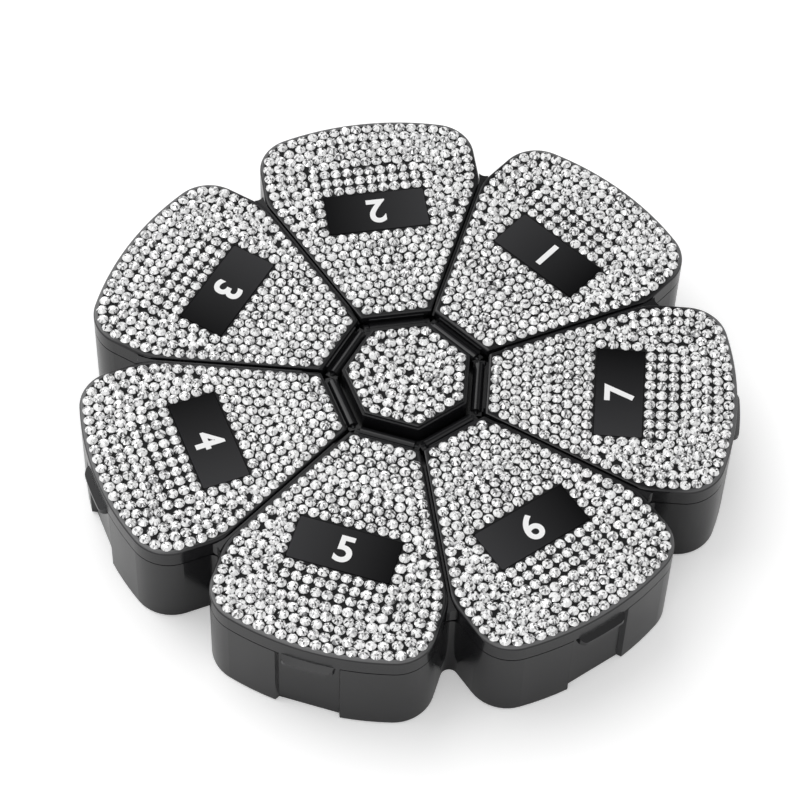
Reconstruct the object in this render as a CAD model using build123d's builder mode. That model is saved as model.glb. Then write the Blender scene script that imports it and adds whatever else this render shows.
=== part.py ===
"""A weekly pill organizer: seven lidded cups set like petals round a seven-sided hub.

The origin is on the underside, on the hub's axis. +Z is up, and the first petal lies along +X.
All lengths are in millimetres.
"""

from build123d import *
from math import cos, degrees, pi, sin, sqrt, tan
import os

# The whole case
day_count = 7
case_radius = 67.8
case_height = 24.2
lid_height = 4.5
half_sector = pi / day_count
sector_slope = tan(half_sector)

# The outline of one petal, seen from above
knee_setback = 19.6
outer_arc_radius = 61.0
outer_corner_radius = 8.5
knee_radius = 12.0
inner_corner_radius = 0.9
hinge_edge = 16.2
lid_gap = 0.9
web_fillet = 1.8

# Walls and floors
wall = 1.5
divider_wall = 2.4
floor = 2.0
cup_corner_radius = 2.0
cup_floor_fillet = 1.5
foot_chamfer = 0.5

# The thumb notch in each outer wall
notch_width = 12.5
notch_depth = 1.35
notch_flare_width = 0.7

# The ribs that stand between the lids, and grow into the webs at the outer ends
rib_clearance = 0.25
rib_drop = 0.5
rib_slope_start = 18.0
rib_slope_end = 22.0
rib_slope_rise = 1.5
web_top_radius = 1.4
web_reach = 0.3

# The hinge: a barrel on the lid, a steel pin, and posts on the tray
hinge_setback = 1.8
hinge_drop = 2.3
barrel_radius = 1.2
pin_radius = 0.55
pin_end_cover = 0.45
pin_clearance = 0.05
post_thickness = 1.0
post_clearance = 0.15
post_rise = 0.35
shelf_reach = 0.35
shelf_drop = 0.7
web_drop = 0.9

# The lid
lid_edge_radius = 0.6
seam_chamfer = 0.3
side_trim = 0.35
relief_length = 8.0
relief_height = 2.9
lid_plate = 1.4
lip_clearance = 0.25
lip_thickness = 1.0
lip_depth = 1.5
tab_width = 11.0
tab_reach = 1.1
tab_height = 1.9
tab_slope = 1.0
tab_corner_radius = 1.5
tab_clearance = 0.2

# The sheet that carries the stones, and the plate in its window
rim_width = 0.95
side_rim_width = 0.75
panel_recess = 0.8
panel_thickness = 0.7
panel_clearance = 0.1
plate_radius = 43.5
plate_length = 21.4
plate_width = 9.8
plate_thickness = 0.8
plate_clearance = 0.15
plate_corner_radius = 0.4

# The hub cap
cap_clearance = 0.85
cap_rise = 1.4
cap_step = 0.5
cap_edge_radius = 0.3
cap_rim = 0.35
cap_wall = 1.4
plug_depth = 4.0
plug_clearance = 0.15
well_wall = 1.6

# How far a cut runs past the surface it opens
overrun = 2.0

# Places worked out from the sizes above
seam = case_height - lid_height
petal_half_width = (case_radius - knee_setback) * sector_slope
hinge_radius = hinge_edge - hinge_setback
hinge_height = case_height - hinge_drop
web_root = (petal_half_width + web_fillet) / sin(half_sector) - web_fillet
rib_end = web_root + web_reach
rib_top = case_height - rib_drop
lid_ceiling = case_height - panel_recess - lid_plate
arc_centre = case_radius - outer_arc_radius
recess_gap = lid_gap / 2 + side_rim_width - rim_width
notch_face = case_radius - notch_depth
notch_mouth = case_radius + overrun
notch_flare = notch_flare_width * (notch_mouth - notch_face) / notch_depth
cap_apothem = hinge_radius - barrel_radius - cap_clearance
cap_top = case_height + cap_rise
cap_ledge = cap_top - cap_step
cap_top_apothem = cap_apothem - cap_step
cap_ceiling = cap_top - panel_recess - cap_wall
well_apothem = cap_apothem - well_wall
plug_apothem = well_apothem - plug_clearance
post_end = hinge_radius * sector_slope
post_start = post_end - post_thickness
barrel_length = 2 * (post_start - post_clearance)
pin_length = 2 * (post_end - pin_end_cover)

os.makedirs("parts", exist_ok=True)


def petal_outline(inset, side_gap, corner_radius, knee=None):
    """The outline of a petal, drawn in by inset, with side_gap from the line between two petals."""
    edge = hinge_edge + inset
    slope_gap = (side_gap + inset) / cos(half_sector)
    shoulder = petal_half_width - inset
    arc_radius = outer_arc_radius - inset
    knee_x = (shoulder + slope_gap) / sector_slope
    corner_x = arc_centre + sqrt(arc_radius**2 - shoulder**2)
    with BuildSketch() as outline:
        with BuildLine():
            Polyline(
                (corner_x, -shoulder),
                (knee_x, -shoulder),
                (edge, slope_gap - edge * sector_slope),
                (edge, edge * sector_slope - slope_gap),
                (knee_x, shoulder),
                (corner_x, shoulder),
            )
            ThreePointArc((corner_x, shoulder), (case_radius - inset, 0), (corner_x, -shoulder))
        make_face()
        fillet(outline.vertices().group_by(Axis.X)[2], radius=outer_corner_radius - inset)
        if knee:
            fillet(outline.vertices().group_by(Axis.X)[1], radius=knee - inset)
        fillet(outline.vertices().group_by(Axis.X)[0], radius=corner_radius)
    return outline.sketch


def cup_outline(inset, corner_radius):
    """The outline of a cup's hollow, which steps in behind the thumb notch."""
    with BuildSketch() as outline:
        add(petal_outline(inset, divider_wall / 2 - wall, corner_radius, knee_radius))
        with Locations((notch_face - inset, 0)):
            Rectangle(
                case_radius,
                notch_width + 2 * inset,
                align=(Align.MIN, Align.CENTER),
                mode=Mode.SUBTRACT,
            )
    return outline.sketch


def wedge_outline(gap, reach):
    """The wedge from the hub out to reach that keeps gap from the lines between the petals."""
    half_width = reach * sector_slope - gap / cos(half_sector)
    with BuildSketch() as outline:
        Polygon(
            (gap / sin(half_sector), 0), (reach, -half_width), (reach, half_width), align=None
        )
    return outline.sketch


def heptagon(apothem):
    """A seven-sided outline whose sides face the petals."""
    with BuildSketch() as outline:
        RegularPolygon(apothem, day_count, major_radius=False, rotation=degrees(half_sector))
    return outline.sketch


lid_blank = petal_outline(0, lid_gap / 2 - side_trim, inner_corner_radius, knee_radius)
lid_berth = petal_outline(-rib_clearance, lid_gap / 2, inner_corner_radius, knee_radius)
tray_petal = petal_outline(0, 0, inner_corner_radius)
cup_hollow = cup_outline(wall, cup_corner_radius)
lip_outside = cup_outline(wall + lip_clearance, cup_corner_radius)
lip_inside = cup_outline(wall + lip_clearance + lip_thickness, cup_corner_radius)
recess_outline = petal_outline(rim_width, recess_gap, inner_corner_radius, knee_radius)
panel_outline = petal_outline(
    rim_width + panel_clearance, recess_gap, inner_corner_radius, knee_radius
)
lid_wedge = wedge_outline(lid_gap / 2, notch_mouth)
skirt_wedge = wedge_outline(divider_wall / 2 + lip_clearance, hinge_edge + relief_length)

# The footprint of the tray: seven petals joined round the hub by filleted webs
with BuildSketch() as footprint:
    add(heptagon(hinge_edge + wall))
    with PolarLocations(0, day_count):
        add(tray_petal)
    fillet(footprint.vertices().group_by(SortBy.DISTANCE)[0], radius=web_fillet)

# The thumb notch widens outwards, and its cut runs past the outer wall
with BuildSketch() as notch_outline:
    Polygon(
        (notch_face, -notch_width / 2),
        (notch_mouth, -notch_width / 2 - notch_flare),
        (notch_mouth, notch_width / 2 + notch_flare),
        (notch_face, notch_width / 2),
        align=None,
    )

# The side view of a rib, which slopes down towards the hub and is rounded off over the web
with BuildPart() as rib_blank:
    with BuildSketch(Plane.XZ) as rib_profile:
        Polygon(
            (rib_slope_start, seam),
            (rib_end, seam),
            (rib_end, rib_top),
            (rib_slope_end, rib_top),
            (rib_slope_start, rib_top - rib_slope_rise),
            align=None,
        )
        fillet(
            rib_profile.vertices().group_by(Axis.X)[-1].sort_by(Axis.Z)[-1],
            radius=web_top_radius,
        )
    extrude(amount=web_fillet, both=True)

# The ribs fill the footprint between the lids' berths
with BuildPart() as lid_ribs:
    with PolarLocations(0, day_count, start_angle=degrees(half_sector)):
        add(rib_blank.part)
    with BuildSketch(Plane.XY.offset(seam)):
        add(footprint.sketch)
        with PolarLocations(0, day_count):
            add(lid_berth, mode=Mode.SUBTRACT)
    extrude(amount=lid_height, mode=Mode.INTERSECT)

# The pin through the barrel, with its ends in the posts
with BuildPart() as hinge_pin:
    with BuildSketch(Plane.XZ.offset(-pin_length / 2)):
        with Locations((hinge_radius, hinge_height)):
            Circle(pin_radius)
    extrude(amount=pin_length)

# One petal's pair of hinge posts, which end a little above the pin's middle
with BuildPart() as hinge_posts:
    with BuildSketch(Plane.XZ.offset(-post_end)):
        with Locations((hinge_radius, seam)):
            Rectangle(
                2 * barrel_radius,
                hinge_height + post_rise - seam,
                align=(Align.CENTER, Align.MIN),
            )
    extrude(amount=post_end - post_start)
    mirror(about=Plane.XZ)

# The tray: seven cups, a deck with the hinge posts, and a well under the hub cap
with BuildPart() as base_tray:
    with BuildSketch():
        add(footprint.sketch)
    extrude(amount=seam)
    with BuildSketch():
        with PolarLocations(0, day_count):
            add(notch_outline.sketch)
    extrude(amount=seam, mode=Mode.SUBTRACT)
    chamfer(base_tray.faces().sort_by(Axis.Z)[0].edges(), length=foot_chamfer)
    with BuildSketch(Plane.XY.offset(floor)):
        with PolarLocations(0, day_count):
            add(cup_hollow)
    extrude(amount=seam - floor, mode=Mode.SUBTRACT)
    fillet(
        base_tray.edges().filter_by_position(Axis.Z, floor, floor), radius=cup_floor_fillet
    )
    with BuildSketch(Plane.XY.offset(floor)):
        add(heptagon(well_apothem))
    extrude(amount=seam - floor, mode=Mode.SUBTRACT)
    # The ring between the well and the cups is cored from below, so that no wall is thick
    with BuildSketch():
        add(heptagon(hinge_edge))
        add(heptagon(cap_apothem), mode=Mode.SUBTRACT)
    extrude(amount=seam - floor, mode=Mode.SUBTRACT)
    with PolarLocations(0, day_count):
        add(hinge_posts.part)
    # The sockets in the posts are open at the top, so that the pins snap down into them
    with PolarLocations(0, day_count):
        add(hinge_pin.part, mode=Mode.SUBTRACT)
    add(lid_ribs.part)
base_tray.part.label = "base_tray"
export_step(base_tray.part, "parts/base_tray.step")

# The hub cap: a stepped seven-sided cap whose plug fits in the tray's well
with BuildPart() as hub_cap:
    with BuildSketch(Plane.XY.offset(seam)):
        add(heptagon(cap_apothem))
    extrude(amount=cap_ledge - seam)
    with BuildSketch(Plane.XY.offset(cap_ledge)):
        add(heptagon(cap_top_apothem))
    extrude(amount=cap_step)
    fillet(hub_cap.faces().sort_by(Axis.Z)[-1].edges(), radius=cap_edge_radius)
    with BuildSketch(Plane.XY.offset(cap_top - panel_recess)):
        add(heptagon(cap_top_apothem - cap_rim))
    extrude(amount=panel_recess, mode=Mode.SUBTRACT)
    with BuildSketch(Plane.XY.offset(seam - plug_depth)):
        add(heptagon(plug_apothem))
    extrude(amount=plug_depth)
    with BuildSketch(Plane.XY.offset(seam - plug_depth)):
        add(heptagon(plug_apothem - cap_wall))
    extrude(amount=cap_ceiling - seam + plug_depth, mode=Mode.SUBTRACT)
hub_cap.part.label = "hub_cap"
export_step(hub_cap.part, "parts/hub_cap.step")

# The sheet in the hub cap's recess
with BuildPart() as hub_crystal_panel:
    with BuildSketch(Plane.XY.offset(cap_top - panel_recess)):
        add(heptagon(cap_top_apothem - cap_rim - panel_clearance))
    extrude(amount=panel_thickness)
hub_crystal_panel.part.label = "hub_crystal_panel"
export_step(hub_crystal_panel.part, "parts/hub_crystal_panel.step")

# The finger tab: a sloped brim turned about the outer arc's centre, cut to its rounded plan
with BuildPart() as finger_tab:
    with BuildSketch(Plane.XZ):
        Polygon(
            (case_radius - wall, seam - tab_height),
            (case_radius + tab_reach, seam - tab_height),
            (case_radius + tab_reach, seam - tab_slope),
            (case_radius, seam + seam_chamfer),
            (case_radius - wall, seam + seam_chamfer),
            align=None,
        )
    revolve(axis=Axis.Z.located(Location((arc_centre, 0, 0))))
    with BuildSketch(Plane.XY.offset(seam - tab_height)) as tab_plan:
        with Locations((arc_centre, 0)):
            Circle(outer_arc_radius + tab_reach)
        with Locations((notch_face + tab_clearance, 0)):
            Rectangle(
                notch_depth + tab_reach,
                tab_width,
                align=(Align.MIN, Align.CENTER),
                mode=Mode.INTERSECT,
            )
        fillet(tab_plan.vertices().group_by(Axis.X)[-1], radius=tab_corner_radius)
    extrude(amount=tab_height + seam_chamfer, mode=Mode.INTERSECT)

# One lid: a recessed top, a lip that drops into the cup, a hinge barrel and a finger tab
with BuildPart() as lid:
    with BuildSketch(Plane.XY.offset(seam)):
        add(lid_blank)
    extrude(amount=lid_height)
    fillet(lid.faces().sort_by(Axis.Z)[-1].edges(), radius=lid_edge_radius)
    chamfer(lid.faces().sort_by(Axis.Z)[0].edges(), length=seam_chamfer)
    with BuildSketch(Plane.XY.offset(seam)):
        add(lid_wedge)
    extrude(amount=lid_height, mode=Mode.INTERSECT)
    # Near the hub the skirt is set back to the lip, so that a lid clears its open neighbour
    with BuildSketch(Plane.XY.offset(seam)):
        with Locations((hinge_edge + relief_length, 0)):
            Rectangle(
                hinge_edge, 2 * petal_half_width, align=(Align.MAX, Align.CENTER)
            )
        add(skirt_wedge, mode=Mode.SUBTRACT)
    extrude(amount=relief_height, mode=Mode.SUBTRACT)
    with BuildSketch(Plane.XY.offset(case_height - panel_recess)):
        add(recess_outline)
    extrude(amount=panel_recess, mode=Mode.SUBTRACT)
    with BuildSketch(Plane.XY.offset(seam - lip_depth)):
        add(lip_outside)
    extrude(amount=lip_depth)
    with BuildSketch(Plane.XY.offset(seam - lip_depth)):
        add(lip_inside)
    extrude(amount=lid_ceiling - seam + lip_depth, mode=Mode.SUBTRACT)
    # The finger tab hangs in the thumb notch and flares out past the wall
    add(finger_tab.part)
    # The hinge barrel, the web that joins it to the lid, and the shelf above the web
    with BuildSketch(Plane.XZ.offset(-barrel_length / 2)):
        with Locations((hinge_radius, hinge_height)):
            Circle(barrel_radius)
        with Locations((hinge_radius, hinge_height - barrel_radius)):
            Rectangle(
                hinge_edge + lid_edge_radius - hinge_radius,
                2 * barrel_radius - web_drop,
                align=(Align.MIN, Align.MIN),
            )
        with Locations((hinge_edge - shelf_reach, hinge_height - barrel_radius)):
            Rectangle(
                shelf_reach + lid_edge_radius,
                hinge_drop + barrel_radius - shelf_drop,
                align=(Align.MIN, Align.MIN),
            )
    extrude(amount=barrel_length)
    with BuildSketch(Plane.XZ.offset(-barrel_length / 2)):
        with Locations((hinge_radius, hinge_height)):
            Circle(pin_radius + pin_clearance)
    extrude(amount=barrel_length, mode=Mode.SUBTRACT)

# The sheet that carries one lid's stones, with a window for the number plate
with BuildPart() as crystal_panel:
    with BuildSketch(Plane.XY.offset(case_height - panel_recess)):
        add(panel_outline)
        with Locations((plate_radius, 0)):
            Rectangle(
                plate_width + 2 * plate_clearance,
                plate_length + 2 * plate_clearance,
                mode=Mode.SUBTRACT,
            )
    extrude(amount=panel_thickness)

# The plate in that window
with BuildPart() as number_plate:
    with BuildSketch(Plane.XY.offset(case_height - panel_recess)):
        with Locations((plate_radius, 0)):
            RectangleRounded(plate_width, plate_length, radius=plate_corner_radius)
    extrude(amount=plate_thickness)

# Every petal has the same pieces, turned round the hub. Piece 7 lies along +X, and 1 follows it
petal_pieces = {
    "lid": lid.part,
    "crystal_panel": crystal_panel.part,
    "number_plate": number_plate.part,
    "hinge_pin": hinge_pin.part,
}
for name, piece in petal_pieces.items():
    for day in range(1, day_count + 1):
        turned = piece.rotate(Axis.Z, 2 * degrees(half_sector) * day)
        turned.label = f"{name}_{day}"
        export_step(turned, f"parts/{name}_{day}.step")
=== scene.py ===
# %% [markdown]
# # A weekly pill organizer with a stone-set top
# The real object is a black plastic case with seven petal-shaped cups round a seven-sided hub.
# Each cup has a hinged lid, and the lids and the hub cap are covered with small flat-back
# glass stones. The plastic pieces come from the CAD model. This lesson gives them their finish,
# sets the stones with Geometry Nodes, puts numbers on the lids, and lights it all for a picture.

# %% Load the CAD model
from math import atan2, cos, pi, radians, sin, sqrt, tan

import bpy
import numpy as np
from mathutils import Matrix, Vector


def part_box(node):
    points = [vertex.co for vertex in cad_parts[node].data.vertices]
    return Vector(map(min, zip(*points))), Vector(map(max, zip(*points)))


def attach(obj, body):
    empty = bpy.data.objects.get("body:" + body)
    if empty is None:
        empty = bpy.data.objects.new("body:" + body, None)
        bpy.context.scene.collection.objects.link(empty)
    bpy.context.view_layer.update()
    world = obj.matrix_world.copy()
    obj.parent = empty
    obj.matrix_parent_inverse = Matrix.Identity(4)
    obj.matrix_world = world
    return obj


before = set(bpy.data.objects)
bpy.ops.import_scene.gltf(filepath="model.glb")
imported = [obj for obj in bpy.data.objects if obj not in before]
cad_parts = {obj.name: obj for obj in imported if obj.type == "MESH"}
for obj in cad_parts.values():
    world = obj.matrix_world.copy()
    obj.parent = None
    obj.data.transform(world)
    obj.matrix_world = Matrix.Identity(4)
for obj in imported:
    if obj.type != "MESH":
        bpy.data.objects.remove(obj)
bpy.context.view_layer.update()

millimetre = 0.001
day_count = 7
half_sector = pi / day_count
scene = bpy.context.scene

# %% [markdown]
# ## The camera
# The photograph was taken with a long lens from above the front edge. The lens, the height and
# a small roll were solved from the seven label centres, which lie on a circle of known size.
# A camera matrix is easiest to read as three axes: right, up, and backwards out of the view.
# The camera's place is written in label radii, and the Standard view shows colours as written.

# %% Place the camera
label_radius = 43.5 * millimetre
rim_height = 24.2 * millimetre
camera_place = Vector((-0.0339, -8.5914, 12.4163)) * label_radius + Vector((0, 0, rim_height))
camera_fall = radians(55.728)
camera_roll = radians(2.404)
model_turn = radians(2.097)
lens_length = 143.77
sensor_width = 36
far_limit = 20


def aim_camera(place, fall, roll, turn):
    """A camera matrix that looks down by fall along +Y, rolled, then turned about the hub."""
    right = Vector((cos(roll), sin(roll) * sin(fall), sin(roll) * cos(fall)))
    up = Vector((-sin(roll), cos(roll) * sin(fall), cos(roll) * cos(fall)))
    back = Vector((0, -cos(fall), sin(fall)))
    axes = Matrix((right, up, back)).transposed().to_4x4()
    return Matrix.Rotation(turn, 4, "Z") @ Matrix.Translation(place) @ axes


camera_data = bpy.data.cameras.new("camera")
camera_data.lens = lens_length
camera_data.sensor_width = sensor_width
camera_data.clip_end = far_limit
camera = bpy.data.objects.new("camera", camera_data)
camera.matrix_world = aim_camera(camera_place, camera_fall, camera_roll, model_turn)
scene.collection.objects.link(camera)
scene.camera = camera
scene.view_settings.view_transform = "Standard"
print("camera at", [round(v, 3) for v in camera.matrix_world.translation])

# %% [markdown]
# ## The table
# The case lies on a white sweep. A curved one could be built, but one large flat sheet does,
# because its edge never shows. Its colour is nearly white, and a little light that only the
# camera sees makes it pure white all round the soft shadow.

# %% Lay the floor
floor_reach = 6.0
floor_mesh = bpy.data.meshes.new("floor")
floor_mesh.from_pydata(
    [(-floor_reach, -floor_reach, 0), (floor_reach, -floor_reach, 0),
     (floor_reach, floor_reach, 0), (-floor_reach, floor_reach, 0)],
    [], [(0, 1, 2, 3)],
)
floor = bpy.data.objects.new("floor", floor_mesh)
scene.collection.objects.link(floor)
print("floor", 2 * floor_reach, "m across")

# %% Make the floor white
floor_tone = (0.95, 0.95, 0.95, 1)
floor_roughness = 0.9
floor_lift = 0.3


def shader_tree(owner):
    """Clears an owner's node tree and returns its nodes and links."""
    owner.use_nodes = True
    owner.node_tree.nodes.clear()
    return owner.node_tree.nodes, owner.node_tree.links


def add_node(nodes, kind, values=None, **settings):
    """Adds a node with its settings and the values of its inputs, by name or number."""
    node = nodes.new(kind)
    for name, setting in settings.items():
        setattr(node, name, setting)
    for socket, value in (values or {}).items():
        node.inputs[socket].default_value = value
    return node


white_sweep = bpy.data.materials.new("white_sweep")
nodes, links = shader_tree(white_sweep)
shader = add_node(nodes, "ShaderNodeBsdfPrincipled", {
    "Base Color": floor_tone, "Roughness": floor_roughness, "Specular IOR Level": 0.0})
lift = nodes.new("ShaderNodeEmission")
path = nodes.new("ShaderNodeLightPath")
lift_level = add_node(nodes, "ShaderNodeMath", {1: floor_lift}, operation="MULTIPLY")
lifted = nodes.new("ShaderNodeAddShader")
output = nodes.new("ShaderNodeOutputMaterial")
links.new(path.outputs["Is Camera Ray"], lift_level.inputs[0])
links.new(lift_level.outputs["Value"], lift.inputs["Strength"])
links.new(shader.outputs["BSDF"], lifted.inputs[0])
links.new(lift.outputs["Emission"], lifted.inputs[1])
links.new(lifted.outputs["Shader"], output.inputs["Surface"])
floor_mesh.materials.append(white_sweep)
print("floor lifted by", floor_lift, "for the camera")

# %% [markdown]
# ## The suns
# One very soft sun from behind on the left gives the pale shadow on the right, and a weak one
# from the front picks out the lids' edges. Area lamps could do this too, but a sun is as strong
# on the far petals as on the near ones.

# %% Hang the suns
sun_level, sun_spread = 1.2, radians(55)
sun_direction = Vector((-0.55, 0.42, 0.95))
glint_level, glint_spread = 0.2, radians(26)
glint_direction = Vector((-0.3, -0.85, 0.42))


def hang_sun(name, level, spread, direction):
    """A sun lamp that shines from a direction."""
    lamp = bpy.data.lights.new(name, "SUN")
    lamp.energy = level
    lamp.angle = spread
    sun = bpy.data.objects.new(name, lamp)
    sun.rotation_euler = direction.to_track_quat("Z", "Y").to_euler()
    scene.collection.objects.link(sun)
    print(name, level)


hang_sun("sun", sun_level, sun_spread, sun_direction)
hang_sun("front_glint", glint_level, glint_spread, glint_direction)

# %% [markdown]
# ## The sky
# Glossy plastic looks like what it mirrors, so the sky is chosen by the kind of ray. It is white
# to the eye, and an even, dimmer light on the object. To gloss it is white as well, but dimmer
# on the right, and darkest round the one direction that flat tops mirror into the camera, so
# that the labels stay black. A picture of a studio could do the same.

# %% Shade the sky that gloss sees
gloss_level = 1.0
mirror_level = 0.17
mirror_direction = (0.05, 0.56, 0.83)
mirror_start, mirror_end = 0.72, 0.93
right_start, right_end = 0.2, 0.95
right_share = 0.5
sky = bpy.data.worlds.new("sky")
scene.world = sky
nodes, links = shader_tree(sky)
direction = nodes.new("ShaderNodeTexCoord")
split = nodes.new("ShaderNodeSeparateXYZ")
toward_mirror = add_node(nodes, "ShaderNodeVectorMath", {1: mirror_direction},
                         operation="DOT_PRODUCT")
mirror_shade = add_node(nodes, "ShaderNodeMapRange", {
    "From Min": mirror_start, "From Max": mirror_end, "To Min": gloss_level, "To Max": mirror_level,
}, interpolation_type="SMOOTHSTEP")
right_shade = add_node(nodes, "ShaderNodeMapRange", {
    "From Min": right_start, "From Max": right_end, "To Min": 1.0, "To Max": right_share,
}, interpolation_type="SMOOTHSTEP")
shades = add_node(nodes, "ShaderNodeMath", operation="MULTIPLY")
links.new(direction.outputs["Generated"], split.inputs["Vector"])
links.new(direction.outputs["Generated"], toward_mirror.inputs[0])
links.new(toward_mirror.outputs["Value"], mirror_shade.inputs["Value"])
links.new(split.outputs["X"], right_shade.inputs["Value"])
links.new(mirror_shade.outputs["Result"], shades.inputs[0])
links.new(right_shade.outputs["Result"], shades.inputs[1])
print("sky from", gloss_level, "to", mirror_level, "for gloss")

# %% Choose the sky by the kind of ray
sky_level = 0.64
white = (1, 1, 1, 1)
plain_light = add_node(nodes, "ShaderNodeBackground", {"Color": white, "Strength": sky_level})
gloss_light = add_node(nodes, "ShaderNodeBackground", {"Color": white})
white_back = add_node(nodes, "ShaderNodeBackground", {"Color": white})
path = nodes.new("ShaderNodeLightPath")
gloss_or_glass = add_node(nodes, "ShaderNodeMath", operation="MAXIMUM")
reflected = nodes.new("ShaderNodeMixShader")
seen = nodes.new("ShaderNodeMixShader")
output = nodes.new("ShaderNodeOutputWorld")
links.new(shades.outputs["Value"], gloss_light.inputs["Strength"])
links.new(path.outputs["Is Glossy Ray"], gloss_or_glass.inputs[0])
links.new(path.outputs["Is Transmission Ray"], gloss_or_glass.inputs[1])
links.new(gloss_or_glass.outputs["Value"], reflected.inputs["Fac"])
links.new(plain_light.outputs["Background"], reflected.inputs[1])
links.new(gloss_light.outputs["Background"], reflected.inputs[2])
links.new(path.outputs["Is Camera Ray"], seen.inputs["Fac"])
links.new(reflected.outputs["Shader"], seen.inputs[1])
links.new(white_back.outputs["Background"], seen.inputs[2])
links.new(seen.outputs["Shader"], output.inputs["Surface"])
print("sky level for the object", sky_level)

# %% [markdown]
# ## A moulded skin for the plastic
# Injection-moulded plastic is never quite even: its gloss drifts a little, and a fine grain
# from the mould breaks up reflections. All the plastic pieces share this, so it is made once as
# a node group with named inputs, and each material sets its own values. Each label plate is also
# painted from black at one end to dark grey at the other, a painted sheen that stands in for a
# reflection along the plate. A second group gives that painted sheen from the direction in which
# the plate lies.

# %% Build the moulded skin group
plain_number, direction_kind = "NodeSocketFloat", "NodeSocketVector"
fine_grain = 2500.0
middle_start, middle_end = 0.3, 0.7
grain_height = 0.02 * millimetre


def add_sockets(tree, inputs, outputs):
    """Gives a node group its number inputs and its outputs, and returns its two end nodes."""
    for title, value in inputs.items():
        socket = tree.interface.new_socket(name=title, in_out="INPUT", socket_type=plain_number)
        socket.default_value = value
    for title, kind in outputs.items():
        tree.interface.new_socket(name=title, in_out="OUTPUT", socket_type=kind)
    return tree.nodes.new("NodeGroupInput"), tree.nodes.new("NodeGroupOutput")


skin = bpy.data.node_groups.new("moulded_skin", "ShaderNodeTree")
entry, result = add_sockets(
    skin,
    {"Drift Size": 60.0, "Grain Size": fine_grain, "Gloss Low": 0.25, "Gloss High": 0.35,
     "Grain Depth": 0.1},
    {"Roughness": plain_number, "Grain": plain_number, "Normal": direction_kind},
)
place = skin.nodes.new("ShaderNodeTexCoord")
drift = add_node(skin.nodes, "ShaderNodeTexNoise", {"Detail": 3})
grain = add_node(skin.nodes, "ShaderNodeTexNoise", {"Detail": 2})
to_gloss = add_node(skin.nodes, "ShaderNodeMapRange", {
    "From Min": middle_start, "From Max": middle_end})
bump = add_node(skin.nodes, "ShaderNodeBump", {"Distance": grain_height})
skin.links.new(place.outputs["Object"], drift.inputs["Vector"])
skin.links.new(place.outputs["Object"], grain.inputs["Vector"])
skin.links.new(entry.outputs["Drift Size"], drift.inputs["Scale"])
skin.links.new(entry.outputs["Grain Size"], grain.inputs["Scale"])
skin.links.new(drift.outputs["Fac"], to_gloss.inputs["Value"])
skin.links.new(entry.outputs["Gloss Low"], to_gloss.inputs["To Min"])
skin.links.new(entry.outputs["Gloss High"], to_gloss.inputs["To Max"])
skin.links.new(entry.outputs["Grain Depth"], bump.inputs["Strength"])
skin.links.new(grain.outputs["Fac"], bump.inputs["Height"])
skin.links.new(to_gloss.outputs["Result"], result.inputs["Roughness"])
skin.links.new(drift.outputs["Fac"], result.inputs["Grain"])
skin.links.new(bump.outputs["Normal"], result.inputs["Normal"])
print("moulded skin group", len(skin.nodes), "nodes")

# %% Build the plate's painted sheen group
half_plate = 10.7 * millimetre
plate_sheen = bpy.data.node_groups.new("plate_painted_sheen", "ShaderNodeTree")
entry, result = add_sockets(plate_sheen, {"Along X": 1.0, "Along Y": 0.0, "Reach": half_plate},
                            {"Fade": plain_number})
place = plate_sheen.nodes.new("ShaderNodeTexCoord")
along_plate = plate_sheen.nodes.new("ShaderNodeCombineXYZ")
distance = add_node(plate_sheen.nodes, "ShaderNodeVectorMath", operation="DOT_PRODUCT")
share = add_node(plate_sheen.nodes, "ShaderNodeMath", operation="DIVIDE")
to_mask = add_node(plate_sheen.nodes, "ShaderNodeMapRange", {"From Min": -1.0})
plate_sheen.links.new(entry.outputs["Along X"], along_plate.inputs["X"])
plate_sheen.links.new(entry.outputs["Along Y"], along_plate.inputs["Y"])
plate_sheen.links.new(place.outputs["Object"], distance.inputs[0])
plate_sheen.links.new(along_plate.outputs["Vector"], distance.inputs[1])
plate_sheen.links.new(distance.outputs["Value"], share.inputs[0])
plate_sheen.links.new(entry.outputs["Reach"], share.inputs[1])
plate_sheen.links.new(share.outputs["Value"], to_mask.inputs["Value"])
plate_sheen.links.new(to_mask.outputs["Result"], result.inputs["Fade"])
print("plate fade group", len(plate_sheen.nodes), "nodes")

# %% [markdown]
# ## The plastics
# The case and the lids are black and glossy, and the sheets under the stones are duller and
# coarser. The sheets are painted near black, darker than their own grey, as painted shade between
# the stones. The ink is white. Each plate has a painted sheen along its length, two of them the
# other way round.
# Each could have its own nodes, but one recipe with a few values for each keeps them alike.

# %% Write the plastic's recipe
plain_specular = 0.5


def moulded_material(name, dark, light, gloss, grain_depth, grain_size=fine_grain,
                     specular=plain_specular, sheen_along=None):
    """A plastic between dark and light, by chance or along a direction as a painted sheen, with the
    moulded skin.
    """
    material = bpy.data.materials.new(name)
    nodes, links = shader_tree(material)
    group = add_node(nodes, "ShaderNodeGroup", {
        "Gloss Low": gloss[0], "Gloss High": gloss[1], "Grain Depth": grain_depth,
        "Grain Size": grain_size,
    }, node_tree=skin)
    tint = add_node(nodes, "ShaderNodeMix", {"A": (*dark, 1), "B": (*light, 1)}, data_type="RGBA")
    shader = add_node(nodes, "ShaderNodeBsdfPrincipled", {"Specular IOR Level": specular})
    output = nodes.new("ShaderNodeOutputMaterial")
    links.new(group.outputs["Grain"], tint.inputs["Factor"])
    # A direction gives the plates' painted sheen: lighter towards one end, standing in for a
    # reflection.
    if sheen_along:
        shade = add_node(nodes, "ShaderNodeGroup", {
            "Along X": sheen_along[0], "Along Y": sheen_along[1]}, node_tree=plate_sheen)
        links.new(shade.outputs["Fade"], tint.inputs["Factor"])
    links.new(tint.outputs["Result"], shader.inputs["Base Color"])
    links.new(group.outputs["Roughness"], shader.inputs["Roughness"])
    links.new(group.outputs["Normal"], shader.inputs["Normal"])
    links.new(shader.outputs["BSDF"], output.inputs["Surface"])
    return material


print("recipe for plastic, with grain at", fine_grain)

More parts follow.
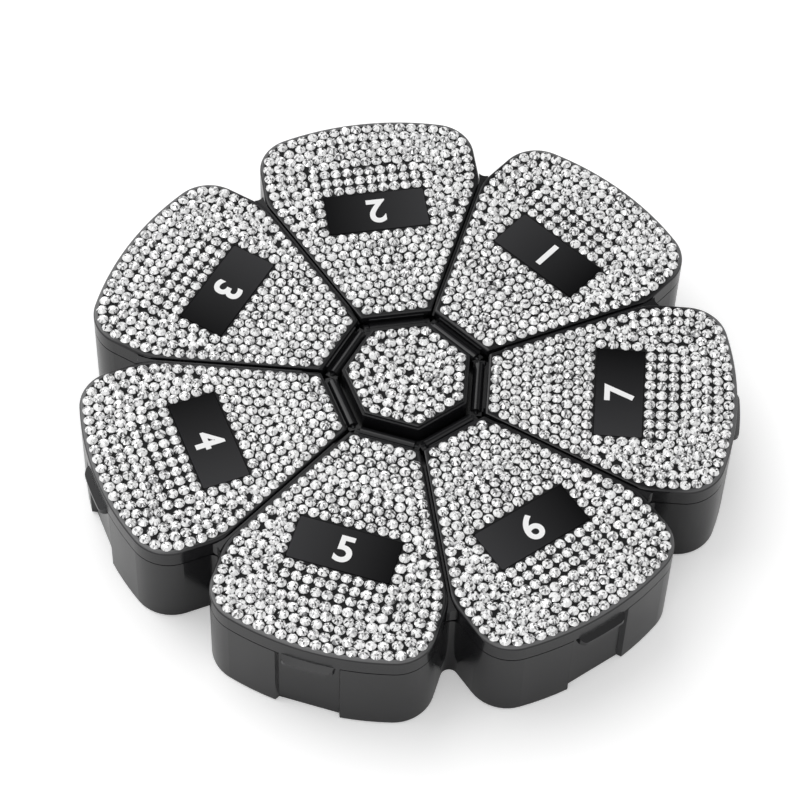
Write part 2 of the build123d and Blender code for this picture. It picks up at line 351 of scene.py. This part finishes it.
# %% Make the plastics
coarse_grain = 900.0
turned_plates = (1, 4)
black_plastic = moulded_material(
    "black_plastic", dark=(0.006, 0.006, 0.007), light=(0.011, 0.011, 0.012),
    gloss=(0.15, 0.22), grain_depth=0.12, specular=0.42,
)
# The sheet is painted near black, darker than its own grey, as painted shade between the stones.
crystal_sheet = moulded_material(
    "crystal_sheet", dark=(0.003, 0.003, 0.0035), light=(0.012, 0.012, 0.013),
    gloss=(0.5, 0.7), grain_depth=0.5, grain_size=coarse_grain, specular=0.2,
)
ink_white = moulded_material(
    "ink_white", dark=(0.86, 0.86, 0.86), light=(0.92, 0.92, 0.92),
    gloss=(0.4, 0.5), grain_depth=0.05,
)
# Each plate gets a painted sheen along its length; the turned plates have it the other way round.
plates = {}
for day in range(1, day_count + 1):
    turned = 2 * half_sector * day
    side = 1 if day in turned_plates else -1
    plates[f"number_plate_{day}"] = moulded_material(
        f"plate_{day}", dark=(0.001, 0.001, 0.0015), light=(0.036, 0.036, 0.038),
        gloss=(0.3, 0.4), grain_depth=0.08, specular=0.1,
        sheen_along=(-side * sin(turned), side * cos(turned)),
    )
print("plastics made, plates", len(plates))

# %% [markdown]
# ## A painted highlight on the lids' rims
# The outer rims of the lids look grey where they catch the light, while the rims beside the other
# lids and the hub stay black. This highlight is painted into the colour: two ramps, one on the
# height and one on the distance from the hub, make a mask that paints the outer rims grey. It
# could be an image, but a mask from the place needs no picture.

# %% Paint a highlight on the lids' outer rims
# The grey below is a painted highlight: the outer rims are painted lighter where they catch the
# light.
rim_highlight_grey = (0.12, 0.12, 0.122, 1)
rim_highlight_heights = (23.9 * millimetre, 24.1 * millimetre)
rim_highlight_distances = (59 * millimetre, 66 * millimetre)
rim_plastic = black_plastic.copy()
rim_plastic.name = "rim_plastic"
nodes, links = rim_plastic.node_tree.nodes, rim_plastic.node_tree.links
shader = next(node for node in nodes if node.type == "BSDF_PRINCIPLED")
black = shader.inputs["Base Color"].links[0].from_socket
place = nodes.new("ShaderNodeTexCoord")
split = nodes.new("ShaderNodeSeparateXYZ")
flatten = add_node(nodes, "ShaderNodeVectorMath", {1: (1, 1, 0)}, operation="MULTIPLY")
reach = add_node(nodes, "ShaderNodeVectorMath", operation="LENGTH")
painted_highlight = add_node(nodes, "ShaderNodeMath", operation="MULTIPLY")
rim_highlight_tint = add_node(nodes, "ShaderNodeMix", {"B": rim_highlight_grey}, data_type="RGBA")
links.new(place.outputs["Object"], split.inputs["Vector"])
links.new(place.outputs["Object"], flatten.inputs[0])
links.new(flatten.outputs["Vector"], reach.inputs[0])
ramps = ((split.outputs["Z"], rim_highlight_heights), (reach.outputs["Value"], rim_highlight_distances))
for slot, (measure, (start, end)) in enumerate(ramps):
    mask = add_node(nodes, "ShaderNodeMapRange", {"From Min": start, "From Max": end})
    links.new(measure, mask.inputs["Value"])
    links.new(mask.outputs["Result"], painted_highlight.inputs[slot])
links.new(black, rim_highlight_tint.inputs["A"])
links.new(painted_highlight.outputs["Value"], rim_highlight_tint.inputs["Factor"])
links.new(rim_highlight_tint.outputs["Result"], shader.inputs["Base Color"])
print("rim plastic", len(nodes), "nodes")

# %% [markdown]
# ## Steel for the hinge pins
# The pins are blackened wire with a fine uneven gloss. They are hardly seen between the lids'
# barrels, so a plain noise in the roughness is enough.

# %% Make the blackened steel
steel_tone = (0.035, 0.035, 0.037, 1)
streak_size = 3000.0
smoothest, roughest = 0.2, 0.45
black_steel = bpy.data.materials.new("black_steel")
nodes, links = shader_tree(black_steel)
place = nodes.new("ShaderNodeTexCoord")
streaks = add_node(nodes, "ShaderNodeTexNoise", {"Scale": streak_size, "Detail": 2})
wear = add_node(nodes, "ShaderNodeMapRange", {"To Min": smoothest, "To Max": roughest})
shader = add_node(nodes, "ShaderNodeBsdfPrincipled", {"Base Color": steel_tone, "Metallic": 1.0})
output = nodes.new("ShaderNodeOutputMaterial")
links.new(place.outputs["Object"], streaks.inputs["Vector"])
links.new(streaks.outputs["Fac"], wear.inputs["Value"])
links.new(wear.outputs["Result"], shader.inputs["Roughness"])
links.new(shader.outputs["BSDF"], output.inputs["Surface"])
print("steel's roughness from", smoothest, "to", roughest)

# %% [markdown]
# ## Dressing the CAD pieces
# The CAD pieces keep their shapes and only need a finish. They could be dressed one by one, but
# the start of a piece's name tells its finish, so a short table and a loop do it. Each plate has
# a finish of its own.

# %% Dress the CAD pieces
finishes = {
    "base_tray": black_plastic,
    "hub_cap": black_plastic,
    "hub_crystal": crystal_sheet,
    "lid": rim_plastic,
    "crystal_panel": crystal_sheet,
    "hinge_pin": black_steel,
}
for name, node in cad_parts.items():
    finish = plates.get(name) or next(f for stem, f in finishes.items() if name.startswith(stem))
    node.data.materials.clear()
    node.data.materials.append(finish)
print("dressed", len(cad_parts), "CAD pieces")

# %% [markdown]
# ## One flat-back stone
# A flat-back stone has an eight-sided table on top, a crown of facets round it, and a thin
# girdle. The table is cut in eight, like the facets of the foiled back that show through it.
# Fewer than fifty faces are enough, because there are thousands of stones. Each face keeps a
# number of its own, and the finish turns it into a bright, grey or dark facet, painted in its
# colour.

# %% Cut the stone
stone_radius = 1.15 * millimetre
stone_height = 0.85 * millimetre
girdle_height = 0.2 * millimetre
table_radius = 0.62 * millimetre
table_rise = 0.02 * millimetre
table_sides = 8


def cut_stone():
    """A faceted flat-back stone that stands on the sheet, as a mesh with a number on each face."""
    around = 2 * table_sides
    turn = pi / table_sides
    points = [(stone_radius * cos(turn * k), stone_radius * sin(turn * k), 0)
              for k in range(around)]
    points += [(x, y, girdle_height) for x, y, _ in points]
    points += [(table_radius * cos(2 * turn * k), table_radius * sin(2 * turn * k), stone_height)
               for k in range(table_sides)]
    points.append((0, 0, stone_height + table_rise))
    base, girdle, table, middle_top = 0, around, 2 * around, 2 * around + table_sides
    faces = [tuple(reversed(range(around)))]
    faces += [(base + k, base + (k + 1) % around, girdle + (k + 1) % around, girdle + k)
              for k in range(around)]
    for k in range(table_sides):
        here, after = table + k, table + (k + 1) % table_sides
        left, middle, right = (girdle + (2 * k + step) % around for step in (0, 1, 2))
        faces += [(left, middle, here), (middle, after, here), (middle, right, after)]
        faces.append((here, after, middle_top))
    mesh = bpy.data.meshes.new("stone")
    mesh.from_pydata(points, [], faces)
    facet = mesh.attributes.new("facet", "FLOAT", "FACE")
    facet.data.foreach_set("value", [k / len(faces) for k in range(len(faces))])
    return mesh


stone = bpy.data.objects.new("stone", cut_stone())
print("stone faces", len(stone.data.polygons))

# %% [markdown]
# ## The stones' finish
# The real stones are foiled glass: some facets flash white, some are grey, and a few small ones
# look black. Clear glass over a mirror could be built, but it would render slowly. A white-noise
# value for each facet of each stone picks a painted tone instead, white, grey or black: these are
# painted reflections of the flashes, not colours of the glass. A second one turns a quarter of the
# facets into bare mirror foil, and a clear gloss over the rest catches the light.

# %% Make the foiled glass
tone_stride = 57.0
mirror_share = 0.25
glass_roughness = 0.12
glass_index = 1.9
# These tones are painted reflections: flashing facets are painted white, the others grey or black.
painted_flash_tones = ((0.0, (0.03, 0.03, 0.032)), (0.11, (0.25, 0.25, 0.26)), (0.22, (0.7, 0.7, 0.7)),
              (0.34, (1.0, 1.0, 1.0)))
foiled_glass = bpy.data.materials.new("foiled_glass")
nodes, links = shader_tree(foiled_glass)
facet = add_node(nodes, "ShaderNodeAttribute", attribute_name="facet")
own = add_node(nodes, "ShaderNodeAttribute", attribute_name="stone_tone")
own_scaled = add_node(nodes, "ShaderNodeMath", {1: tone_stride}, operation="MULTIPLY_ADD")
chance = add_node(nodes, "ShaderNodeTexWhiteNoise", noise_dimensions="1D")
flash = nodes.new("ShaderNodeValToRGB")
steps = flash.color_ramp.elements
flash.color_ramp.interpolation = "CONSTANT"
steps.remove(steps[1])
steps[0].color = (*painted_flash_tones[0][1], 1)
for position, tone in painted_flash_tones[1:]:
    steps.new(position).color = (*tone, 1)
channels = nodes.new("ShaderNodeSeparateColor")
mirrored = add_node(nodes, "ShaderNodeMath", {1: mirror_share}, operation="LESS_THAN")
shader = add_node(nodes, "ShaderNodeBsdfPrincipled", {"Roughness": glass_roughness,
                                                      "IOR": glass_index})
output = nodes.new("ShaderNodeOutputMaterial")
links.new(own.outputs["Fac"], own_scaled.inputs[0])
links.new(facet.outputs["Fac"], own_scaled.inputs[2])
links.new(own_scaled.outputs["Value"], chance.inputs["W"])
links.new(chance.outputs["Value"], flash.inputs["Fac"])
links.new(chance.outputs["Color"], channels.inputs["Color"])
links.new(channels.outputs["Green"], mirrored.inputs[0])
links.new(flash.outputs["Color"], shader.inputs["Base Color"])
links.new(mirrored.outputs["Value"], shader.inputs["Metallic"])
links.new(shader.outputs["BSDF"], output.inputs["Surface"])
print("foil tones", len(steps))

# %% [markdown]
# ## Where the stones go
# The stones were set by hand: ten nested rows towards the hub, straight rows round the label,
# and rings that follow the lid's outer edge. Scattering them by chance would be shorter, but no
# row would show, so Python draws these guides. It works in millimetres, on a lid that points
# along +X.

# %% Draw straight rows across a lid
side_keep = 1.95
first_row, row_step = 18.05, 2.115
row_counts = (6, 7, 8, 9, 10, 11, 11, 12, 13, 14)
beside_window = first_row + row_step * len(row_counts)


def row(x, count, spacing):
    """A straight row of evenly spaced places across the lid, at the distance x from the hub."""
    y = (np.arange(count) - (count - 1) / 2) * spacing
    return np.column_stack([np.full(count, x), y])


def full_row(x, count):
    """A row whose end stones keep their distance from the lid's sloping sides."""
    room = x * tan(half_sector) - side_keep / cos(half_sector)
    return row(x, count, 2 * room / (count - 1))


print("rows towards the hub", len(row_counts), "stones", sum(row_counts))

# %% Size the lid's outline
arc_radius = 61.0
case_radius = 67.8
arc_x = case_radius - arc_radius
petal_half_width = 23.212
corner_radius = 8.5
knee_radius = 12.0
print("lid reaches", case_radius, "mm from the hub, width", 2 * petal_half_width, "mm")

# %% Draw the rings along the outer edge
edge_keep, side_inset = 1.75, 0.2
ring_step, ring_spacing = 2.24, 2.38
least_corner = 1.0
knee_sag_share = 0.06
corner_points, arc_points = 9, 25
fine_step = 0.05


def along(path, spacing):
    """Evenly spaced points on a path, as near to the spacing as whole steps allow."""
    steps = np.hypot(*np.diff(path, axis=0).T)
    reach = np.concatenate([[0], np.cumsum(steps)])
    places = np.linspace(0, reach[-1], round(reach[-1] / spacing) + 1)
    return np.column_stack([np.interp(places, reach, path[:, k]) for k in (0, 1)])


def ring(number):
    """A ring of places round the outer part of a lid; ring 0 is the outermost."""
    inset = edge_keep + ring_step * number
    shoulder = petal_half_width - inset
    slope_gap = (inset + side_inset) / cos(half_sector)
    knee = (shoulder + slope_gap) / tan(half_sector)
    bend = knee_radius * tan(half_sector / 2)
    corner = max(corner_radius - inset, least_corner)
    centre_y = shoulder - corner
    centre_x = arc_x + sqrt((arc_radius - inset - corner) ** 2 - centre_y**2)
    end = atan2(-centre_y, centre_x - arc_x)
    half = [
        (first_row, slope_gap - first_row * tan(half_sector)),
        (knee - bend * cos(half_sector), bend * sin(half_sector) - shoulder),
        (knee, knee_sag_share * knee_radius - shoulder),
        (knee + bend, -shoulder),
    ]
    for a in np.linspace(-pi / 2, end, corner_points):
        half.append((centre_x + corner * cos(a), corner * sin(a) - centre_y))
    for a in np.linspace(end, 0, arc_points)[1:]:
        half.append((arc_x + (arc_radius - inset) * cos(a), (arc_radius - inset) * sin(a)))
    half = np.array(half)
    path = along(np.vstack([half, half[-2::-1] * (1, -1)]), fine_step)
    return along(path[path[:, 0] > beside_window], ring_spacing)


print("stones in the outermost ring", len(ring(0)))

# %% Keep the stones inside the lid
window_x, window_length, window_width = 43.5, 21.7, 10.1
window_keep = 1.1
field_keep = 1.7
place_slack = 0.1


def in_lid_field(points):
    """Which points a stone may take on a lid: inside its edges and clear of the window."""
    x, y = points[:, 0], np.abs(points[:, 1])
    good = x * sin(half_sector) - y * cos(half_sector) > side_keep - place_slack
    good &= (x > first_row - place_slack) & (y < petal_half_width - field_keep)
    good &= np.hypot(x - arc_x, y) < arc_radius - field_keep
    centre_y = petal_half_width - corner_radius
    centre_x = arc_x + sqrt((arc_radius - corner_radius) ** 2 - centre_y**2)
    in_corner = (x > centre_x) & (y > centre_y)
    off_centre = np.hypot(x - centre_x, y - centre_y)
    good &= ~in_corner | (off_centre < corner_radius - field_keep)
    off_window = np.maximum(np.abs(x - window_x) - window_width / 2, y - window_length / 2)
    return good & (off_window > window_keep)


print("first row inside the field", in_lid_field(full_row(first_row, row_counts[0])).all())

# %% [markdown]
# ## Filling the field
# No guide fits everywhere. A stone of a later guide is left out where there is no room for it,
# the loose ones push each other apart, and any hole that is left takes one more. It could be
# done by hand, as on the real lid, but a short loop does it alike for the lids and the cap. The
# first row is set a little shorter than it could be, so that it clears the next lid when both
# stand open.

# %% Push loose stones apart
pitch = 2.32
push_share = 0.35
least_apart = 1e-9


def distances(points, others):
    """The distance from each point to each of the others."""
    away = points[:, None] - others[None, :]
    return np.hypot(away[..., 0], away[..., 1])


def settle(points, fixed_count, inside, rounds):
    """Pushes the loose points apart until they are about a pitch from each other."""
    for _ in range(rounds):
        away = points[:, None] - points[None, :]
        apart = distances(points, points) + least_apart
        push = np.clip(pitch - apart, 0, None)
        np.fill_diagonal(push, 0)
        move = (away / apart[..., None] * push[..., None]).sum(1) * push_share
        move[:fixed_count] = 0
        good = inside(points + move)
        points[good] += move[good]
    return points


print("pitch of the stones", pitch, "mm")

# %% Fill a field with stones
first_rounds, next_rounds = 80, 40
search_step = 0.2


def fill_field(fixed, loose, inside, crowding, hole):
    """Places from the fixed guides, the loose guides, and the holes that are left."""
    kept = np.vstack(fixed)
    fixed_count = len(kept)
    for point in np.vstack(loose):
        room = np.hypot(*(kept - point).T).min()
        if room > crowding * pitch and inside(point[None])[0]:
            kept = np.vstack([kept, point])
    kept = settle(kept, fixed_count, inside, first_rounds)
    low, high = kept.min(0) - pitch, kept.max(0) + pitch
    lines = (np.arange(low[k], high[k], search_step) for k in (0, 1))
    grid = np.stack(np.meshgrid(*lines), -1).reshape(-1, 2)
    grid = grid[inside(grid)]
    while True:
        room = distances(grid, kept).min(1)
        if room.max() < hole * pitch:
            return kept
        kept = np.vstack([kept, grid[room.argmax()]])
        kept = settle(kept, fixed_count, inside, next_rounds)


print("holes are sought every", search_step, "mm")

# %% List the places on a lid
first_spacing = 2.36
window_rows, window_count, window_spacing = (49.8, 52.2, 54.6), 9, 2.4
outer_rows, outer_spacing = ((57.15, 11), (59.3, 10)), 2.41
column_y, column_count, column_setback = 12.05, 6, 2.45
beside_clear = 11.5
beside_extra = 5
loose_rings = (1, 2, 3)
lid_crowding, lid_hole = 0.8, 0.74
beside = full_row(beside_window, len(row_counts) + beside_extra)
column_end = outer_rows[0][0] - column_setback
column_x = np.linspace(beside_window, column_end, column_count + 1)[1:]
lid_fixed = [full_row(first_row + row_step * k, count) for k, count in enumerate(row_counts)]
lid_fixed[0] = row(first_row, row_counts[0], first_spacing)
lid_fixed += [row(x, window_count, window_spacing) for x in window_rows] + [ring(0)]
lid_loose = [beside[np.abs(beside[:, 1]) > beside_clear]]
lid_loose += [np.column_stack([column_x, np.full(column_count, y)]) for y in (-column_y, column_y)]
lid_loose += [row(x, count, outer_spacing) for x, count in outer_rows]
lid_loose += [ring(number) for number in loose_rings]
lid_places = fill_field(lid_fixed, lid_loose, in_lid_field, lid_crowding, lid_hole)
print("stones on a lid", len(lid_places))

# %% List the places on the hub cap
cap_reach = 10.45
cap_slack = 0.05
cap_spacing, edge_spacing = 2.4, 2.45
inner_rings = (8.1, 6.0, 3.9, 1.8)
cap_crowding, cap_hole = 0.84, 0.88


def in_cap_field(points):
    """Which points a stone may take on the hub cap."""
    angle = np.arctan2(points[:, 1], points[:, 0])
    turned = (angle + half_sector) % (2 * half_sector) - half_sector
    return np.hypot(points[:, 0], points[:, 1]) * np.cos(turned) < cap_reach + cap_slack


def cap_ring(apothem, spacing):
    """Places round a seven-sided ring whose sides face the lids."""
    angles = half_sector * (2 * np.arange(day_count + 1) + 1)
    corners = np.column_stack([np.cos(angles), np.sin(angles)]) * apothem / cos(half_sector)
    return along(corners, spacing)[:-1]


cap_fixed = [cap_ring(cap_reach, edge_spacing)]
cap_loose = [cap_ring(apothem, cap_spacing) for apothem in inner_rings]
cap_places = fill_field(cap_fixed, cap_loose, in_cap_field, cap_crowding, cap_hole)
print("stones on the hub cap", len(cap_places))

# %% [markdown]
# ## Setting the stones with Geometry Nodes
# Hundreds of equal shapes on listed points are what instancing is for. A loop could copy the
# stone some two thousand times, but a tree does it in one step. It puts a stone on each point,
# turns and tips it by chance, gives it a tone of its own, and makes the result real.

# %% Build the stone-setting tree
smallest, largest = 0.96, 1.02
setting = bpy.data.node_groups.new("stone_setting", "GeometryNodeTree")
setting.interface.new_socket(name="Places", in_out="INPUT", socket_type="NodeSocketGeometry")
for title, kind, value in (
    ("Stone", "NodeSocketObject", None), ("Finish", "NodeSocketMaterial", None),
    ("Tip", "NodeSocketFloat", radians(5)), ("Seed", "NodeSocketInt", 1),
):
    socket = setting.interface.new_socket(name=title, in_out="INPUT", socket_type=kind)
    if value is not None:
        socket.default_value = value
setting.interface.new_socket(name="Stones", in_out="OUTPUT", socket_type="NodeSocketGeometry")
nodes, links = setting.nodes, setting.links
entry = nodes.new("NodeGroupInput")
result = nodes.new("NodeGroupOutput")
source = add_node(nodes, "GeometryNodeObjectInfo", {"As Instance": True})
tip_low = add_node(nodes, "ShaderNodeMath", {1: -1.0}, operation="MULTIPLY")
low = nodes.new("ShaderNodeCombineXYZ")
high = add_node(nodes, "ShaderNodeCombineXYZ", {"Z": 2 * pi})
turn = add_node(nodes, "FunctionNodeRandomValue", data_type="FLOAT_VECTOR")
size = add_node(nodes, "FunctionNodeRandomValue", {2: smallest, 3: largest}, data_type="FLOAT")
tone = add_node(nodes, "FunctionNodeRandomValue", data_type="FLOAT")
put = nodes.new("GeometryNodeInstanceOnPoints")
keep_tone = add_node(nodes, "GeometryNodeStoreNamedAttribute", {"Name": "stone_tone"},
                     domain="INSTANCE")
real = nodes.new("GeometryNodeRealizeInstances")
dress = nodes.new("GeometryNodeSetMaterial")
print("stone-setting tree", len(nodes), "nodes")

# %% Wire the stone-setting tree
links.new(entry.outputs["Stone"], source.inputs["Object"])
links.new(entry.outputs["Tip"], tip_low.inputs[0])
for axis in ("X", "Y"):
    links.new(tip_low.outputs["Value"], low.inputs[axis])
    links.new(entry.outputs["Tip"], high.inputs[axis])
links.new(low.outputs["Vector"], turn.inputs["Min"])
links.new(high.outputs["Vector"], turn.inputs["Max"])
for chooser in (turn, size, tone):
    links.new(entry.outputs["Seed"], chooser.inputs["Seed"])
links.new(entry.outputs["Places"], put.inputs["Points"])
links.new(source.outputs["Geometry"], put.inputs["Instance"])
links.new(turn.outputs["Value"], put.inputs["Rotation"])
links.new(size.outputs[1], put.inputs["Scale"])
links.new(put.outputs["Instances"], keep_tone.inputs["Geometry"])
links.new(tone.outputs[1], keep_tone.inputs["Value"])
links.new(keep_tone.outputs["Geometry"], real.inputs["Geometry"])
links.new(real.outputs["Geometry"], dress.inputs["Geometry"])
links.new(entry.outputs["Finish"], dress.inputs["Material"])
links.new(dress.outputs["Geometry"], result.inputs["Stones"])
print("stone-setting links", len(links))

# %% Set the stones on the lids and the cap
sockets = {item.name: item.identifier for item in setting.interface.items_tree
           if item.item_type == "SOCKET" and item.in_out == "INPUT"}


def set_stones(name, places, height, turned, seed, body):
    """Stones at flat places in millimetres, at a height, turned about the hub, on a body."""
    spot_mesh = bpy.data.meshes.new("places")
    points = [(x * millimetre, y * millimetre, height) for x, y in places]
    spot_mesh.from_pydata(points, [], [])
    spots = bpy.data.objects.new("places", spot_mesh)
    scene.collection.objects.link(spots)
    setter = spots.modifiers.new("setting", "NODES")
    setter.node_group = setting
    setter[sockets["Stone"]] = stone
    setter[sockets["Finish"]] = foiled_glass
    setter[sockets["Seed"]] = seed
    bpy.context.view_layer.update()
    graph = bpy.context.evaluated_depsgraph_get()
    mesh = bpy.data.meshes.new_from_object(spots.evaluated_get(graph), depsgraph=graph)
    spots.modifiers.remove(setter)
    bpy.data.objects.remove(spots)
    mesh.transform(Matrix.Rotation(turned, 4, "Z"))
    mesh.name = name
    piece = bpy.data.objects.new(name, mesh)
    scene.collection.objects.link(piece)
    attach(piece, body)
    return piece


sheet_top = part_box("crystal_panel_7")[1].z
cap_sheet_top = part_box("hub_crystal_panel")[1].z
sunk = 0.02 * millimetre
cap_seed = 20
for day in range(1, day_count + 1):
    stones = set_stones(f"stones_{day}", lid_places, sheet_top - sunk, 2 * half_sector * day, day,
                        f"lid_{day}")
    print(stones.name, "faces", len(stones.data.polygons))
set_stones("hub_stones", cap_places, cap_sheet_top - sunk, 0.0, cap_seed, "case")

# %% [markdown]
# ## The numbers
# Each plate carries a plain white number from one to seven, read from outside the case. It could
# be a picture on the plate, but a shape stays sharp and needs no file. A text object gives the
# shape; it is made a mesh, laid on its plate and turned with it.

# %% Print a number on each plate
numeral_height = 6.2 * millimetre
ink_thickness = 0.06 * millimetre
ink_rise_share = 0.4
letter_weight = 0.022
half_unit = 0.5
plate_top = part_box("number_plate_7")[1].z


def print_numeral(day):
    """A thin raised numeral on the plate of one lid, read from outside the case."""
    text = bpy.data.curves.new(f"numeral_{day}", "FONT")
    text.body = str(day)
    text.align_x = "CENTER"
    text.align_y = "CENTER"
    text.offset = letter_weight
    text.extrude = half_unit
    shape = bpy.data.objects.new("shape", text)
    scene.collection.objects.link(shape)
    bpy.context.view_layer.update()
    graph = bpy.context.evaluated_depsgraph_get()
    mesh = bpy.data.meshes.new_from_object(shape.evaluated_get(graph), depsgraph=graph)
    bpy.data.objects.remove(shape)
    corners = np.array([v.co for v in mesh.vertices])
    low, high = corners.min(0), corners.max(0)
    scale = numeral_height / (high[1] - low[1])
    to_middle = Matrix.Translation(-Vector((low + high) / 2))
    to_size = Matrix.Diagonal((scale, scale, ink_thickness, 1))
    upright = Matrix.Rotation(pi / 2, 4, "Z")
    on_plate = Matrix.Translation((label_radius, 0, plate_top + ink_rise_share * ink_thickness))
    round_hub = Matrix.Rotation(2 * half_sector * day, 4, "Z")
    mesh.transform(round_hub @ on_plate @ upright @ to_size @ to_middle)
    mesh.name = f"numeral_{day}"
    mesh.materials.clear()
    mesh.materials.append(ink_white)
    piece = bpy.data.objects.new(f"numeral_{day}", mesh)
    scene.collection.objects.link(piece)
    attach(piece, f"lid_{day}")


for day in range(1, day_count + 1):
    print_numeral(day)
print("numbers printed")
